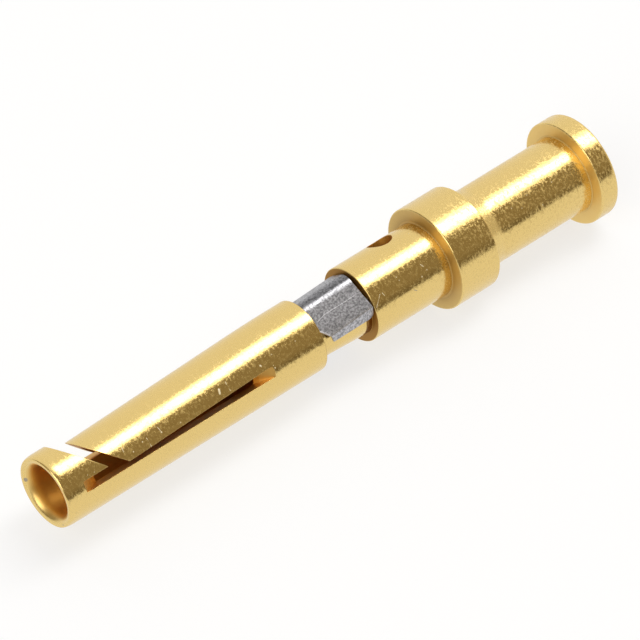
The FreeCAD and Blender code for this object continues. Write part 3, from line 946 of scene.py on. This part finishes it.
def gold_plate(finish):
    """Bright gold over turning marks, dull in the bores and on the faces turned across the axis.

    Streaks and points of the noise are rougher and a little paler, more so on the barrel.
    """
    material, tree, shader, grain = metal("gold_plate", GOLD_MARKS)
    marks, fine = grain.outputs["Marks"], grain.outputs["Grain"]
    dull, bounce_shade, shade = (attribute(tree, name) for name in ("dull", "bounce_shade", "shade"))
    # The specks are glints of small dents and the scratches are wear; both get a pale, less metallic
    # colour, a painted glint
    specks = [(*speck[:3], *speck) for speck in SPECKS]
    wear_and_glint = scratches(tree, (*SCRATCHES, *specks))

    relief = math_node(tree, "MULTIPLY_ADD", fine, GRAIN_HEIGHT, marks)
    relief = times(tree, relief, math_node(tree, "SUBTRACT", 1.0, dull))
    bumped(tree, relief, finish.gold_marks, shader)

    place = node(tree, "ShaderNodeTexCoord")
    parts = node(tree, "ShaderNodeSeparateXYZ")
    link(tree, place.outputs["Object"], parts.inputs["Vector"])
    barrel = eased(tree, parts.outputs["X"], COLLAR_START * MM, BARREL_START * MM)
    strength = math_node(tree, "MULTIPLY_ADD", barrel, BARREL_MATTED, 1.0)
    strength = math_node(tree, "MULTIPLY", strength, MATTED)
    mottled = math_node(tree, "MAXIMUM", eased(tree, marks, *STREAKS), eased(tree, fine, *POINTS))
    matted = times(tree, mottled, strength)

    rough = node(tree, "ShaderNodeMapRange")
    rough.inputs["To Min"].default_value = finish.gold_roughness
    rough.inputs["To Max"].default_value = finish.dull_roughness
    strongest = math_node(tree, "MAXIMUM", math_node(tree, "MAXIMUM", dull, wear_and_glint), matted)
    link(tree, strongest, rough.inputs["Value"])
    link(tree, rough.outputs["Result"], shader.inputs["Roughness"])

    # Painted shade: the bounced shade tints the bores, the slots, the gap and the faces orange-brown
    # as light bounced between the gold walls would, and the plain shade darkens the faces, the
    # fillets and the gap
    plate_and_shade = mixed(tree, bounce_shade, finish.gold, finish.bounce_shade_gold)
    plate_and_shade = mixed(tree, shade, plate_and_shade, finish.shade)
    stained = mixed(tree, scratches(tree, STAINS), plate_and_shade, finish.stain)
    # Pale colour on the specks and scratches: wear with a painted glint
    link(tree, mixed(tree, wear_and_glint, stained, finish.wear_and_glint), shader.inputs["Base Color"])
    wear_and_glint_pale = math_node(tree, "MULTIPLY", wear_and_glint, WEAR_AND_GLINT_PALE)
    pale = math_node(tree, "MULTIPLY_ADD", matted, MATTED_PALE, wear_and_glint_pale)
    link(tree, math_node(tree, "SUBTRACT", 1.0, pale), shader.inputs["Metallic"])
    return material


def spring_steel(finish):
    """Mottled strip with a long scratch, its brightness an attribute of painted highlight and shade
    that follows the bends.
    """
    material, tree, shader, grain = metal("spring_steel", STEEL_MARKS)
    bumped(tree, grain.outputs["Grain"], finish.steel_marks, shader)
    blotches = node(tree, "ShaderNodeMapRange")
    for label, value in zip(("From Min", "From Max", "To Min", "To Max"), BLOTCHES):
        blotches.inputs[label].default_value = value
    link(tree, grain.outputs["Marks"], blotches.inputs["Value"])
    # Painted highlight and shade, set by how the surface is turned, times the blotches
    bright = times(tree, attribute(tree, "painted_light"), blotches.outputs["Result"])
    wear_and_glint = scratches(tree, CLIP_SCRATCHES)
    # The scratch brightens the strip: wear with a painted glint
    bright = math_node(tree, "MULTIPLY_ADD", wear_and_glint, STEEL_WEAR_AND_GLINT, bright)
    link(tree, mixed(tree, bright, (0, 0, 0), finish.steel), shader.inputs["Base Color"])
    shader.inputs["Roughness"].default_value = finish.steel_roughness
    return material


class ContactFinish(bpy.types.PropertyGroup):
    """Colours, roughnesses and marks of the contact's two metals, with the colours of its painted
    shade and painted glints.
    """

    gold: FloatVectorProperty(
        name="Gold", description="Colour of the plating", subtype="COLOR",
        default=(0.9, 0.655, 0.243),
    )
    # Painted shade: the orange-brown that light bounced between the gold walls gives the bores, the
    # slots and the gap
    bounce_shade_gold: FloatVectorProperty(
        name="Deep gold", description="Colour of the plating in the bores", subtype="COLOR",
        default=(0.7, 0.37, 0.07),
    )
    shade: FloatVectorProperty(
        name="Shade", description="Colour of the plating where it is shaded", subtype="COLOR",
        default=(0.12, 0.05, 0.01),
    )
    stain: FloatVectorProperty(
        name="Stain", description="Colour of the grey marks", subtype="COLOR",
        default=(0.42, 0.35, 0.25),
    )
    # Specks and scratches: wear, their pale colour a painted glint
    wear_and_glint: FloatVectorProperty(
        name="Worn", description="Colour of the specks and scratches", subtype="COLOR",
        default=(0.98, 0.84, 0.56),
    )
    gold_roughness: FloatProperty(
        name="Gold roughness", description="Roughness of the plating", subtype="FACTOR",
        default=0.12, min=0, max=1,
    )
    dull_roughness: FloatProperty(
        name="Dull roughness", description="Roughness in the bores and on the facing cuts",
        subtype="FACTOR", default=0.5, min=0, max=1,
    )
    gold_marks: FloatProperty(
        name="Gold marks", description="Depth of the turning marks", subtype="DISTANCE",
        default=0.0035 * MM, precision=6,
    )
    steel: FloatVectorProperty(
        name="Steel", description="Colour of the clip", subtype="COLOR",
        default=(0.63, 0.62, 0.64),
    )
    steel_roughness: FloatProperty(
        name="Steel roughness", description="Roughness of the clip", subtype="FACTOR",
        default=0.38, min=0, max=1,
    )
    steel_marks: FloatProperty(
        name="Steel marks", description="Depth of the clip's grain", subtype="DISTANCE",
        default=0.00175 * MM, precision=6,
    )
    edge_break: FloatProperty(
        name="Edge break", description="Width of the bevel on the body's edges",
        subtype="DISTANCE", default=0.016 * MM, precision=6,
    )
    clip_break: FloatProperty(
        name="Clip edge break", description="Width of the bevel on the clip's edges",
        subtype="DISTANCE", default=0.0288 * MM, precision=6,
    )


class StageLook(bpy.types.PropertyGroup):
    """Brightness of the studio round the contact."""

    white: FloatProperty(
        name="White", description="Radiance of the white surroundings", default=0.84, min=0,
    )
    room: FloatVectorProperty(
        name="Room", description="Radiance of the room behind the camera", subtype="COLOR",
        default=(0.262, 0.215, 0.145),
    )
    side: FloatVectorProperty(
        name="Side", description="Radiance of the room beyond the wire end", subtype="COLOR",
        default=(0.6, 0.56, 0.5),
    )
    softbox: FloatProperty(
        name="Softbox", description="Radiance of the overhead light", default=5.2, min=0,
    )
    end_light: FloatProperty(
        name="End light", description="Radiance of the light off the mating end", default=2.6,
        min=0,
    )
    softbox_edge: FloatProperty(
        name="Softbox edge", description="Sine of the angle where the overhead light ends",
        subtype="FACTOR", default=0.38, min=0, max=1,
    )


class OBJECT_OT_contact_body(bpy.types.Operator):
    """Build the turned, gold-plated contact with its slots and its bent tongue"""

    bl_idname = "contact.body"
    bl_label = "Contact body"

    def execute(self, context):
        """Weld the socket's walls, cuts and mouth to the turned shank."""
        finish = context.scene.contact_finish
        patches = [
            *wall_patches(SOCKET, OUTER, NOSE_LENGTH, SOCKET_END - SLEEVE_EASE),
            *wall_patches(PIN_BORE, INNER, LEAD_DEPTH, PIN_BORE_END),
            *slot_walls(), *slot_ends(), *slanted_faces(), mouth_face(),
            bent(drill_point(PIN_BORE_END, PIN_BORE, INNER.whole, 1)),
            *shank_patches(),
        ]
        body = mesh_object("contact_body_skin", patches, gold_plate(finish))
        dull_and_shaded(body)
        break_edges(body, finish.edge_break)
        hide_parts("contact_body")
        return {"FINISHED"}


class OBJECT_OT_retaining_clip(bpy.types.Operator):
    """Build the bent steel strip round the neck"""

    bl_idname = "contact.clip"
    bl_label = "Retaining clip"

    def execute(self, context):
        """Sweep the strip's section from the front of the neck to the rear."""
        finish = context.scene.contact_finish
        steel = spring_steel(finish)
        clip = mesh_object("retaining_clip_skin", clip_patches(), steel)
        painted_light_by_turn(clip)
        break_edges(clip, finish.clip_break)
        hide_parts("retaining_clip")
        return {"FINISHED"}


class OBJECT_OT_contact_stage(bpy.types.Operator):
    """Build the white floor, the lights and the camera"""

    bl_idname = "contact.stage"
    bl_label = "Stage"

    def execute(self, context):
        """Set the floor, the surroundings and the camera."""
        look = context.scene.contact_stage
        white_floor(context.scene, look.white)
        surroundings(context.scene, look)
        photo_camera(context.scene)
        context.scene.view_settings.view_transform = "Standard"
        return {"FINISHED"}


def white_floor(scene, white):
    """A square of white paper at the height of the contact's lowest point."""
    corners = [(-1, -1), (1, -1), (1, 1), (-1, 1)]
    mesh = bpy.data.meshes.new("floor")
    mesh.from_pydata(
        [(x * FLOOR_HALF, y * FLOOR_HALF, CAD_LOW.z) for x, y in corners], [], [(0, 1, 2, 3)],
    )
    mesh.materials.append(floor_material(white))
    floor = bpy.data.objects.new("floor", mesh)
    scene.collection.objects.link(floor)


def floor_material(white):
    """White paper: the camera sees a faint shadow on it, and the metal sees an even white."""
    material = bpy.data.materials.new("white_floor")
    material.use_nodes = True
    tree = material.node_tree
    paper = tree.nodes["Principled BSDF"]
    paper.inputs["Base Color"].default_value = (PAPER, PAPER, PAPER, 1)
    paper.inputs["Roughness"].default_value = PAPER_ROUGHNESS
    paper.inputs["Specular IOR Level"].default_value = PAPER_SPECULAR
    lit = node(tree, "ShaderNodeEmission", Strength=1.0)
    seen = node(tree, "ShaderNodeMixShader", Fac=FLOOR_WHITE)
    link(tree, paper.outputs["BSDF"], seen.inputs[1])
    link(tree, lit.outputs["Emission"], seen.inputs[2])
    even = node(tree, "ShaderNodeEmission", Strength=white)
    either = node(tree, "ShaderNodeMixShader")
    path = node(tree, "ShaderNodeLightPath")
    link(tree, path.outputs["Is Glossy Ray"], either.inputs["Fac"])
    link(tree, seen.outputs["Shader"], either.inputs[1])
    link(tree, even.outputs["Emission"], either.inputs[2])
    link(tree, either.outputs["Shader"], tree.nodes["Material Output"].inputs["Surface"])
    return material


def surroundings(scene, look):
    """The studio by direction: white behind, a warm dark room in front, soft lights above.

    With s = y / sqrt(y^2 + z^2), the overhead light falls off from |s| = 0.05 to the softbox's
    edge, and along the axis towards x = 0 and x = 0.9. A second light stands off the mating end,
    and the white fades out behind that end.
    """
    world = bpy.data.worlds.new("surroundings")
    world.use_nodes = True
    scene.world = world
    tree = world.node_tree
    background = tree.nodes["Background"]
    place = node(tree, "ShaderNodeTexCoord")
    parts = node(tree, "ShaderNodeSeparateXYZ")
    link(tree, place.outputs["Generated"], parts.inputs["Vector"])
    x, y, z = (parts.outputs[name] for name in "XYZ")

    across = node(tree, "ShaderNodeVectorMath", operation="MULTIPLY")
    across.inputs[1].default_value = (0, 1, 1)
    link(tree, place.outputs["Generated"], across.inputs[0])
    unit = node(tree, "ShaderNodeVectorMath", operation="NORMALIZE")
    link(tree, across.outputs["Vector"], unit.inputs[0])
    turned_by = node(tree, "ShaderNodeSeparateXYZ")
    link(tree, unit.outputs["Vector"], turned_by.inputs["Vector"])
    aside = math_node(tree, "ABSOLUTE", turned_by.outputs["Y"])

    overhead = times(
        tree, eased(tree, aside, look.softbox_edge, OVERHEAD_FULL),
        eased(tree, x, *OVERHEAD_REAR), eased(tree, x, *OVERHEAD_FRONT),
        eased(tree, z, *OVERHEAD_LOW),
    )
    end_light = times(
        tree, eased(tree, x, *END_LIGHT_FRONT), eased(tree, z, *END_LIGHT_LOW),
        *(eased(tree, y, *side) for side in END_LIGHT_SIDES),
    )
    low_room = [part * ROOM_LOW_SHARE for part in look.room]
    room = mixed(tree, eased(tree, z, *ROOM_LOW), look.room, low_room)
    room = mixed(tree, eased(tree, x, *SIDE_REAR), room, look.side)
    behind = times(tree, eased(tree, y, *WHITE_BEHIND), eased(tree, x, *WHITE_FRONT))
    lit = mixed(tree, behind, room, [look.white] * 3)
    lit = mixed(tree, overhead, lit, [look.softbox] * 3)
    lit = mixed(tree, end_light, lit, [look.end_light] * 3)
    link(tree, lit, background.inputs["Color"])


def photo_camera(scene):
    """The camera at the photograph's angle: about 45 degrees above, from the mating end."""
    data = bpy.data.cameras.new("camera")
    data.lens = LENS
    data.sensor_width = SENSOR
    data.clip_start, data.clip_end = CAMERA_RANGE
    forward = Vector(CAMERA_VIEW).normalized()
    right = forward.cross(Vector((0, 0, 1))).normalized()
    up = right.cross(forward)
    turned_to = Matrix((right, up, -forward)).transposed().to_4x4()
    camera = bpy.data.objects.new("camera", data)
    camera.matrix_world = Matrix.Translation(Vector(CAMERA_PLACE) * MM) @ turned_to
    scene.collection.objects.link(camera)
    scene.camera = camera


class VIEW3D_PT_contact(bpy.types.Panel):
    """Lists the contact's operators and properties in the sidebar"""

    bl_label = "Contact"
    bl_space_type = "VIEW_3D"
    bl_region_type = "UI"
    bl_category = "Contact"

    def draw(self, context):
        """One button for each operator, and the properties below."""
        layout = self.layout
        for operator in OPERATORS:
            layout.operator(operator.bl_idname)
        for settings in (context.scene.contact_finish, context.scene.contact_stage):
            for name in settings.bl_rna.properties.keys():
                if name not in ("rna_type", "name"):
                    layout.prop(settings, name)


OPERATORS = (OBJECT_OT_contact_body, OBJECT_OT_retaining_clip, OBJECT_OT_contact_stage)
CLASSES = (ContactFinish, StageLook, *OPERATORS, VIEW3D_PT_contact)


def register():
    """Register the classes and the scene's property groups."""
    for item in CLASSES:
        bpy.utils.register_class(item)
    bpy.types.Scene.contact_finish = PointerProperty(type=ContactFinish)
    bpy.types.Scene.contact_stage = PointerProperty(type=StageLook)


def unregister():
    """Remove the property groups and the classes."""
    del bpy.types.Scene.contact_stage
    del bpy.types.Scene.contact_finish
    for item in reversed(CLASSES):
        bpy.utils.unregister_class(item)


def main():
    """Build the pieces and the stage."""
    register()
    bpy.ops.contact.body()
    bpy.ops.contact.clip()
    bpy.ops.contact.stage()


if __name__ == "__main__":
    main()
